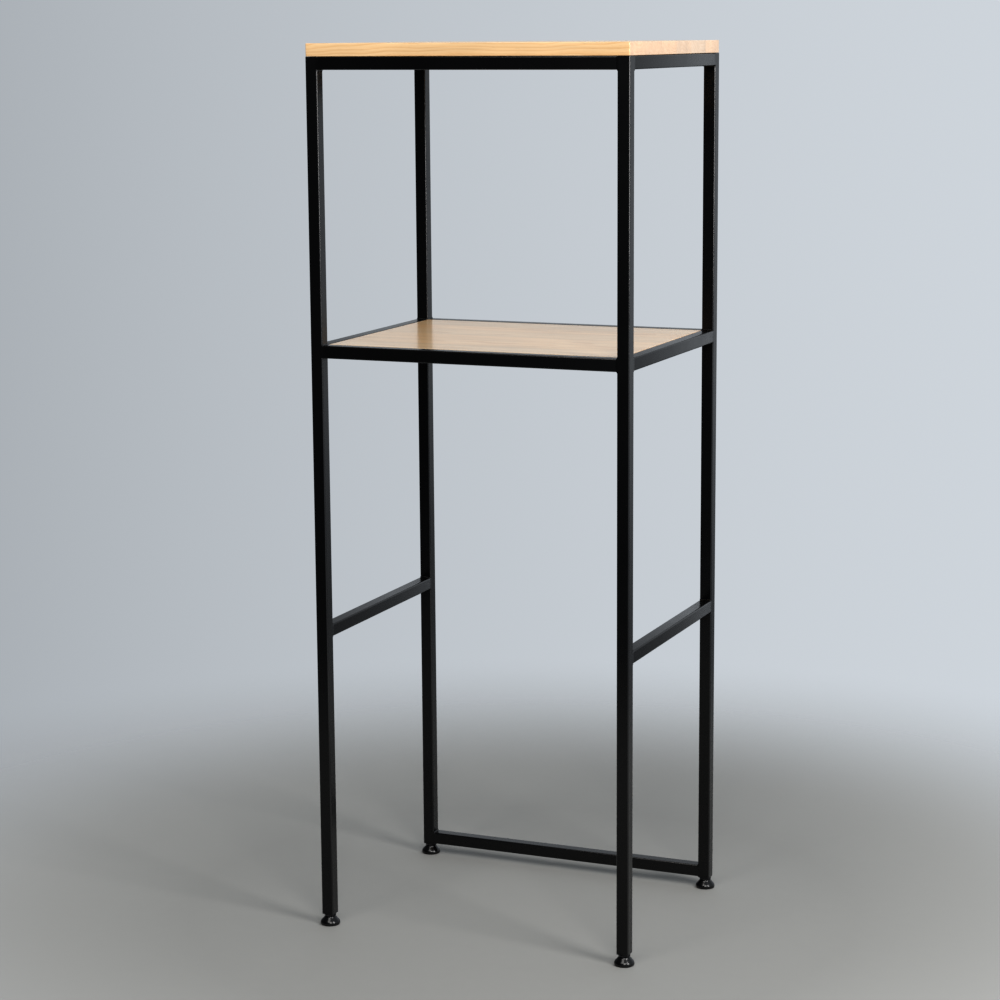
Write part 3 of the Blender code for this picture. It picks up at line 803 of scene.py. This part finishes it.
def lacquered_wood(name, node, board, seed, tone_and_shade, sheen):
    """Edge-glued pine under a clear satin lacquer.

    Each stave has its own pith, off to one side and above or below the board, and the growth rings
    are shells about it: the distance from the pith, bent by slow noise and a slope along the stave,
    over the ring spacing. The saw's faces cut them into straight grain, cathedrals and, at the
    ends, arcs. Long fibres, short pores, slow mottling and thin glue lines lie over them.
    """
    wood = Finish(name)
    low, high = corners_of(node)
    place = wood.stretched((1, 1, 1), location=tuple(-(low + high) / 2))
    x, y, z = wood.parts(place)
    count = math.ceil((high[1] - low[1]) / board.stave - 0.2)
    width = (high[1] - low[1]) / count
    across = wood.plus(wood.math("DIVIDE", y, width), count / 2)
    stave = wood.math("FLOOR", across)
    key = wood.plus(stave, seed)
    chance = wood.node("ShaderNodeTexWhiteNoise", {"W": key}, noise_dimensions="1D")
    c1, c2, c3 = wood.parts(chance.outputs["Color"])

    # Place of the pith, and the slope of the stave's grain to its length
    own_y = wood.times(wood.minus(wood.math("FRACT", across), 0.5), width)
    pith_y = wood.times(wood.minus(c1, 0.5), 0.75 * width)
    flip = wood.times(wood.math("PINGPONG", key, 1.0), 2.0, -1.0)
    pith_z = wood.times(flip, wood.times(c2, 0.045, 0.016))
    slope_y = wood.times(wood.minus(c3, 0.5), 0.05)
    slope_z = wood.times(wood.minus(c1, 0.45), 0.075)
    from_y = wood.times(x, slope_y, wood.minus(own_y, pith_y))
    from_z = wood.times(x, slope_z, wood.minus(z, pith_z))
    square = wood.times(from_y, from_y, wood.times(from_z, from_z))
    distance = wood.math("SQRT", square)

    # Slow bends of the rings, different in each stave
    shift = wood.times(key, 3.7)
    spot = wood.join(x, y, wood.plus(z, shift))
    bend = wood.noise(wood.stretched((2.6, 11.0, 11.0), spot), 1.0, 2.0, 0.45)
    distance = wood.times(wood.minus(bend, 0.5), 0.030, distance)
    curl = wood.noise(wood.stretched((8.5, 24.0, 24.0), spot), 1.0, 2.0, 0.5)
    distance = wood.times(wood.minus(curl, 0.5), 0.013, distance)
    uneven = wood.noise(wood.join(wood.times(distance, 70.0), shift))
    turns = wood.times(uneven, 2.6, wood.math("DIVIDE", distance, board.ring))
    ring = wood.math("FRACT", turns)
    rise = wood.math("POWER", wood.fit(ring, 0.25, 0.88, 0.0, 1.0), 1.8)
    fall = wood.fit(ring, 0.90, 0.99, 1.0, 0.0)
    late = wood.times(rise, fall)

    # Fibres, pores and mottling
    fibre = wood.noise(wood.stretched((9.0, 760.0, 760.0), spot), 1.0, 3.0, 0.6)
    streak = wood.noise(wood.stretched((2.2, 95.0, 95.0), spot), 1.0, 3.0, 0.55)
    mottle = wood.noise(wood.stretched((7.0, 26.0, 26.0), spot), 1.0, 2.0)
    pores = wood.noise(wood.stretched((75.0, 1900.0, 1900.0), spot), 1.0, 1.0)
    pore = wood.fit(pores, 0.665, 0.72, 0.0, 1.0)

    # Where the staves end, and the thin dark glue lines between them
    normal = wood.node("ShaderNodeNewGeometry").outputs["True Normal"]
    end = wood.math("GREATER_THAN", wood.math("ABSOLUTE", wood.parts(normal)[0]), 0.7)
    from_line = wood.minus(wood.math("FRACT", wood.plus(across, 0.5)), 0.5)
    from_line = wood.math("ABSOLUTE", from_line)
    inside = wood.math("LESS_THAN", wood.math("ABSOLUTE", y), (high[1] - low[1] - width) / 2)
    glue = wood.fit(from_line, 0.0015, 0.0080, 1.0, 0.0)
    glue = wood.times(glue, inside)

    # The rings are fainter on the ends, and each stave is a little warmer or cooler
    amount = wood.times(late, wood.times(end, -0.2, 0.62))
    colour = wood.blend(amount, solid(board.early), solid(board.late))
    warm = (1.05, 0.97, 0.88, 1.0)
    cool = (0.94, 0.98, 1.02, 1.0)
    colour = wood.blend(1.0, colour, wood.blend(c3, warm, cool), "MULTIPLY")
    # The tone sets the board's overall lightness; the shelf's lower tone is painted shade for its
    # place under the top board
    light = wood.plus(wood.fit(c2, 0.0, 1.0, -0.06, 0.05), tone_and_shade)
    clouds = ((fibre, -0.075, 0.055), (streak, -0.09, 0.08), (mottle, -0.085, 0.055))
    for cloud, dark, pale in clouds:
        light = wood.plus(light, wood.fit(cloud, 0.3, 0.7, dark, pale))
    for mark in (pore, glue):
        light = wood.times(mark, -0.16, light)
    colour = wood.blend(1.0, colour, wood.join(light, light, light), "MULTIPLY")
    end_tint = (0.89, 0.87, 0.98, 1.0)
    colour = wood.blend(end, colour, wood.blend(1.0, colour, end_tint, "MULTIPLY"))

    rough = wood.times(pore, 0.10, wood.fit(fibre, 0.3, 0.7, 0.36, 0.28))
    relief = wood.bump(fibre, 0.00006, 0.5)
    relief = wood.bump(late, 0.00008, 0.35, relief)
    relief = wood.bump(wood.times(pore, -1.0), 0.00008, 0.6, relief)
    return wood.shade(
        Base_Color=colour, Roughness=rough, Normal=relief, Coat_Weight=sheen, Coat_Roughness=0.14,
    )


def blackened_steel(name, colours):
    """Black zinc plated steel, brushed by tumbling, with paler high spots."""
    steel = Finish(name)
    cloud = steel.noise(steel.place, 420.0, 3.0)
    grit = steel.noise(steel.stretched((900.0, 900.0, 3600.0)), 1.0, 2.0)
    high_spots = steel.fit(cloud, 0.45, 0.75, 0.0, 0.7)
    colour = steel.blend(high_spots, solid(colours.steel), (0.085, 0.082, 0.08, 1.0))
    rough = steel.fit(grit, 0.3, 0.7, 0.22, 0.40)
    relief = steel.bump(grit, 0.00001, 0.5)
    return steel.shade(Base_Color=colour, Roughness=rough, Normal=relief, Metallic=0.75)


def bright_zinc(name, colours):
    """Bright zinc plating with a faint rainbow cloud and tumbling marks."""
    zinc = Finish(name)
    cloud = zinc.noise(zinc.place, 300.0, 2.0)
    grit = zinc.noise(zinc.place, 2400.0, 2.0)
    colour = zinc.blend(cloud, solid(colours.zinc), (0.66, 0.62, 0.50, 1.0))
    rough = zinc.fit(grit, 0.3, 0.7, 0.24, 0.40)
    relief = zinc.bump(grit, 0.00001, 0.5)
    return zinc.shade(Base_Color=colour, Roughness=rough, Normal=relief, Metallic=1.0)


def moulded_nylon(name, colours):
    """Black nylon with the fine spark texture of its mould."""
    nylon = Finish(name)
    spark = nylon.noise(nylon.place, 3200.0, 2.0)
    cloud = nylon.noise(nylon.place, 160.0, 2.0)
    pale = nylon.fit(cloud, 0.4, 0.7, 0.0, 0.5)
    colour = nylon.blend(pale, solid(colours.nylon), (0.016, 0.016, 0.017, 1.0))
    rough = nylon.fit(spark, 0.3, 0.7, 0.42, 0.58)
    relief = nylon.bump(spark, 0.00003, 0.6)
    return nylon.shade(Base_Color=colour, Roughness=rough, Normal=relief)


def glossy_plastic(name, colours):
    """Glossy black plastic. Near the floor it is scuffed and dusty."""
    plastic = Finish(name)
    low = plastic.fit(plastic.parts(plastic.place)[2], 0.0, 0.0045, 1.0, 0.0)
    dust = plastic.noise(plastic.place, 900.0, 4.0, 0.7)
    rub = plastic.noise(plastic.stretched((500.0, 500.0, 3000.0)), 1.0, 2.0)
    dusty = plastic.times(low, plastic.fit(dust, 0.45, 0.62, 0.0, 0.55))
    colour = plastic.blend(dusty, solid(colours.plastic), (0.055, 0.053, 0.050, 1.0))
    rough = plastic.times(dusty, 0.35, plastic.fit(rub, 0.4, 0.7, 0.19, 0.25))
    relief = plastic.bump(rub, 0.00001, 0.4)
    return plastic.shade(Base_Color=colour, Roughness=rough, Normal=relief, IOR=1.5)


def floor_finish(stage):
    """A plain pale floor that fades out with its distance from the rack. It is painted paler further
    out: painted light that makes up for the lamps' fall-off.
    """
    floor = Finish("pale_floor")
    length = floor.node("ShaderNodeVectorMath", {0: floor.place}, operation="LENGTH")
    spread = length.outputs["Value"]
    cover = floor.fit(spread, 0.75, 1.75, 1.0, 0.0, "SMOOTHSTEP")
    grain = floor.fit(floor.noise(floor.place, 35.0, 4.0), 0.3, 0.7, 0.0, 0.12)
    tint = floor.blend(grain, solid(stage.floor), (0.325, 0.325, 0.315, 1.0))
    # Painted light: the floor grows paler away from the rack, where the lamps light it less
    tint = floor.blend(floor.fit(spread, 0.55, 1.35, 0.0, 1.0), tint, (0.46, 0.46, 0.45, 1.0))
    return floor.shade(Base_Color=tint, Roughness=0.75, Alpha=cover)


# Operators, one for each piece or group of like pieces


class RACK_OT_legs(bpy.types.Operator):
    """Four legs of square tube"""

    bl_idname = "rack.legs"
    bl_label = "Legs"

    def execute(self, context):
        for corner in CORNERS:
            add_tube("leg_" + corner)
        return {"FINISHED"}


class RACK_OT_rails(bpy.types.Operator):
    """Top, shelf, side and bottom rails of square tube"""

    bl_idname = "rack.rails"
    bl_label = "Rails"

    def execute(self, context):
        for rail in rail_nodes():
            add_tube(rail)
        return {"FINISHED"}


class RACK_OT_welds(bpy.types.Operator):
    """Welds at both ends of every rail, and beads in the corners under the top board"""

    bl_idname = "rack.welds"
    bl_label = "Welds"

    def execute(self, context):
        tube, weld = settings().tube, settings().weld
        for rail in rail_nodes():
            flush = (rail.startswith("bottom"), rail.startswith("top"))
            ends = [weld_shell(rail, end, *flush, tube, weld) for end in (-1, 1)]
            add_piece("weld_" + rail, ends, "frame_steel")
        low, high = corners_of("top_rail_front")
        rear = corners_of("top_rail_rear")[0][1]
        bottom, top = low[2] + weld.bead_gap, high[2] - weld.bead_gap
        for corner in CORNERS:
            sign_x, sign_y = signs_of(corner)
            x = low[0] if sign_x < 0 else high[0]
            y = high[1] if sign_y < 0 else rear
            bead = corner_bead_shell(x, y, sign_x, sign_y, bottom, top, weld)
            add_piece("corner_bead_" + corner, [bead], "frame_steel")
        return {"FINISHED"}


class RACK_OT_tabs(bpy.types.Operator):
    """Four triangular tabs that carry the shelf board"""

    bl_idname = "rack.tabs"
    bl_label = "Shelf Tabs"

    def execute(self, context):
        for corner in CORNERS:
            node = "shelf_tab_" + corner
            plate = tab_shell(node, *signs_of(corner), settings().screw.hole)
            stand_in(node, "plate", plate, "frame_steel")
        return {"FINISHED"}


class RACK_OT_top_board(bpy.types.Operator):
    """The board on top of the frame"""

    bl_idname = "rack.top_board"
    bl_label = "Top Board"

    def execute(self, context):
        board = settings().board
        finish = lacquered_wood("top_board_pine", "top_board", board, 11.0, 1.0, 0.4)
        shape = board_shell("top_board", board)
        stand_in("top_board", "glued", shape, "top_board_wood", material=finish)
        return {"FINISHED"}


class RACK_OT_shelf_board(bpy.types.Operator):
    """The board let into the shelf rails"""

    bl_idname = "rack.shelf_board"
    bl_label = "Shelf Board"

    def execute(self, context):
        board = settings().board
        # A tone of 0.945 darkens the shelf's wood below the top board's: painted shade, as the shelf
        # lies under the top board
        finish = lacquered_wood("shelf_board_pine", "shelf_board", board, 31.0, 0.945, 0.62)
        shape = board_shell("shelf_board", board)
        stand_in("shelf_board", "glued", shape, "shelf_board_wood", material=finish)
        return {"FINISHED"}


class RACK_OT_screws(bpy.types.Operator):
    """Screws through the top rails and the shelf tabs into the boards"""

    bl_idname = "rack.screws"
    bl_label = "Screws"

    def execute(self, context):
        screw = settings().screw
        crests = {"top_screw_" + place: screw.top_crest for place in CORNERS + ("left", "right")}
        crests.update({"shelf_screw_" + corner: screw.shelf_crest for corner in CORNERS})
        for node, crest in crests.items():
            stand_in(node, "threaded", screw_shell(node, crest, screw), "black_steel")
        return {"FINISHED"}


class RACK_OT_inserts(bpy.types.Operator):
    """Moulded plugs in the legs"""

    bl_idname = "rack.inserts"
    bl_label = "Leg Inserts"

    def execute(self, context):
        tube, foot = settings().tube, settings().foot
        for corner in CORNERS:
            node = "leg_insert_" + corner
            leg_bottom = upright("leg_" + corner)[1]
            shape = insert_shell(*upright(node), leg_bottom, tube, foot)
            stand_in(node, "moulding", shape, "plug_nylon")
        return {"FINISHED"}


class RACK_OT_nuts(bpy.types.Operator):
    """Nuts in the plugs"""

    bl_idname = "rack.nuts"
    bl_label = "Nuts"

    def execute(self, context):
        for corner in CORNERS:
            node = "insert_nut_" + corner
            stand_in(node, "threaded", nut_shell(*upright(node), settings().foot), "nut_steel")
        return {"FINISHED"}


class RACK_OT_studs(bpy.types.Operator):
    """Levelling studs with their collars"""

    bl_idname = "rack.studs"
    bl_label = "Studs"

    def execute(self, context):
        foot = settings().foot
        for corner in CORNERS:
            node = "foot_stud_" + corner
            collar_low = upright("foot_pad_" + corner)[2] + foot.clearance
            collar_high = upright("leg_insert_" + corner)[1] - foot.clearance
            shape = stud_shell(*upright(node), collar_low, collar_high, foot)
            stand_in(node, "threaded", shape, "black_steel", "stud_" + corner)
        return {"FINISHED"}


class RACK_OT_pads(bpy.types.Operator):
    """Glossy pads that stand on the floor"""

    bl_idname = "rack.pads"
    bl_label = "Pads"

    def execute(self, context):
        for corner in CORNERS:
            node = "foot_pad_" + corner
            low, high = corners_of(node)
            widest = (high[0] - low[0]) / 2
            shape = pad_shell(*upright(node), widest, settings().foot)
            stand_in(node, "bell", shape, "pad_plastic", "pad_" + corner)
        return {"FINISHED"}


class RACK_OT_stage(bpy.types.Operator):
    """Floor, lights, world and camera"""

    bl_idname = "rack.stage"
    bl_label = "Stage"

    def execute(self, context):
        stage = settings().stage
        add_floor(stage)
        for softbox in SOFTBOXES:
            add_light(*softbox)
        add_world()
        add_camera(stage)
        view = context.scene.view_settings
        view.view_transform = "Standard"
        view.look = "High Contrast"
        view.exposure = 0.0
        return {"FINISHED"}


# What the operators share


def rail_nodes():
    """Names of all the rails."""
    frames = [kind + side for kind in ("top_rail_", "shelf_rail_") for side in SIDES]
    return frames + ["side_rail_left", "side_rail_right", "bottom_rail_rear"]


def signs_of(corner):
    """-1 or 1 along x and along y for the side of the rack that a corner is on."""
    return -1 if corner.endswith("left") else 1, -1 if corner.startswith("front") else 1


def slot_finish(slot):
    """The finish of a material slot that several pieces share, made once."""
    makers = {
        "frame_steel": ("satin_powder_coat", powder_coat),
        "black_steel": ("black_zinc_steel", blackened_steel),
        "nut_steel": ("bright_zinc_steel", bright_zinc),
        "plug_nylon": ("moulded_nylon", moulded_nylon),
        "pad_plastic": ("glossy_pad_plastic", glossy_plastic),
    }
    name, maker = makers[slot]
    return bpy.data.materials.get(name) or maker(name, settings().finish)


def add_tube(node):
    """Replace one tube of the frame with its finished surface. The legs' corners are glossiest."""
    shape, edge = tube_shell(node, settings().tube)
    gloss = 1.0 if node.startswith("leg") else 0.3
    stand_in(node, "tube", shape, "frame_steel", edge=edge * gloss)


def add_floor(stage):
    """A round floor under the rack, as rings of points whose radius grows evenly."""
    rows, columns = 24, 96
    radius = np.linspace(0.02, stage.floor_radius, rows)[:, None]
    grid = round_grid((0.0, 0.0), radius, 0.0, turn_angles(columns))
    faces = grid_quads(rows, columns, False).tolist() + [list(range(columns))]
    mesh = bpy.data.meshes.new("floor")
    mesh.from_pydata(grid.reshape(-1, 3).tolist(), [], faces)
    mesh.materials.append(floor_finish(stage))
    floor = bpy.data.objects.new("floor", mesh)
    bpy.context.scene.collection.objects.link(floor)


def add_light(name, place, target, size, power, colour):
    """An oblong softbox that faces a target, with its width and height."""
    lamp = bpy.data.lights.new(name, "AREA")
    lamp.shape = "RECTANGLE"
    lamp.size, lamp.size_y = size
    lamp.energy = power
    lamp.color = colour
    light = bpy.data.objects.new(name, lamp)
    light.location = place
    light.rotation_euler = (Vector(target) - Vector(place)).to_track_quat("-Z", "Y").to_euler()
    bpy.context.scene.collection.objects.link(light)


def add_world():
    """A pale studio: bright and slightly cool at the back and the right, dimmer at the front, and
    dim below eye level at the right."""
    world = bpy.data.worlds.new("studio")
    sky = Nodes(world)
    around = sky.node("ShaderNodeTexCoord").outputs["Generated"]
    brightest = {0: around, 1: (0.87, 0.49, 0.0)}
    facing = sky.node("ShaderNodeVectorMath", brightest, operation="DOT_PRODUCT").outputs["Value"]
    half = sky.fit(facing, -1.0, 1.0, 0.0, 1.0)
    ramp = sky.node("ShaderNodeValToRGB", {0: half})
    ramp.color_ramp.interpolation = "B_SPLINE"
    elements = ramp.color_ramp.elements
    elements.remove(elements[0])
    for place, level in SKY_STOPS:
        element = elements[0] if place == SKY_STOPS[0][0] else elements.new(place)
        element.position = place
        element.color = (0.945 * level, level, 1.06 * level, 1.0)
    low = sky.fit(sky.parts(around)[2], -0.24, -0.12, 1.0, 0.0)
    right = sky.fit(half, 0.70, 0.84, 0.0, 0.7)
    background = sky.tree.nodes["Background"].inputs
    sky.feed(background["Color"], ramp.outputs[0])
    sky.feed(background["Strength"], sky.times(sky.times(low, right), -1.0, 1.0))
    bpy.context.scene.world = world


def add_camera(stage):
    """A camera turned by its yaw, pitch and roll."""
    yaw, pitch, roll = stage.yaw, stage.pitch, stage.roll
    level = Vector((math.cos(yaw), math.sin(yaw), 0.0))
    forward = Vector((-math.sin(yaw), math.cos(yaw), 0.0))
    ahead = math.cos(pitch) * forward + math.sin(pitch) * Vector((0.0, 0.0, 1.0))
    upright = level.cross(ahead)
    right = math.cos(roll) * level + math.sin(roll) * upright
    above = math.cos(roll) * upright - math.sin(roll) * level
    turn = Matrix((right, above, -ahead)).transposed()
    data = bpy.data.cameras.new("camera")
    data.lens = stage.lens
    data.sensor_width = 36.0
    camera = bpy.data.objects.new("camera", data)
    camera.matrix_world = Matrix.Translation(stage.camera) @ turn.to_4x4()
    bpy.context.scene.collection.objects.link(camera)
    bpy.context.scene.camera = camera


OPERATORS = (
    RACK_OT_legs,
    RACK_OT_rails,
    RACK_OT_welds,
    RACK_OT_tabs,
    RACK_OT_top_board,
    RACK_OT_shelf_board,
    RACK_OT_screws,
    RACK_OT_inserts,
    RACK_OT_nuts,
    RACK_OT_studs,
    RACK_OT_pads,
    RACK_OT_stage,
)


class RACK_PT_looks(bpy.types.Panel):
    """Lists what builds the rack's looks"""

    bl_idname = "RACK_PT_looks"
    bl_label = "Storage Rack"
    bl_space_type = "VIEW_3D"
    bl_region_type = "UI"
    bl_category = "Rack"

    def draw(self, context):
        choice = context.scene.rack_looks
        for part in RackSettings.__annotations__:
            group = getattr(choice, part)
            box = self.layout.box()
            for name in type(group).__annotations__:
                box.prop(group, name)
        for operator in OPERATORS:
            self.layout.operator(operator.bl_idname)


GROUPS = (
    TubeSettings,
    WeldSettings,
    BoardSettings,
    ScrewSettings,
    FootSettings,
    FinishSettings,
    StageSettings,
    RackSettings,
)


def register():
    for kind in GROUPS + OPERATORS + (RACK_PT_looks,):
        bpy.utils.register_class(kind)
    bpy.types.Scene.rack_looks = PointerProperty(type=RackSettings)


def unregister():
    del bpy.types.Scene.rack_looks
    for kind in reversed(GROUPS + OPERATORS + (RACK_PT_looks,)):
        bpy.utils.unregister_class(kind)


def main():
    """Build every piece in order."""
    register()
    for operator in OPERATORS:
        getattr(bpy.ops.rack, operator.bl_idname.split(".")[1])()


if __name__ == "__main__":
    main()
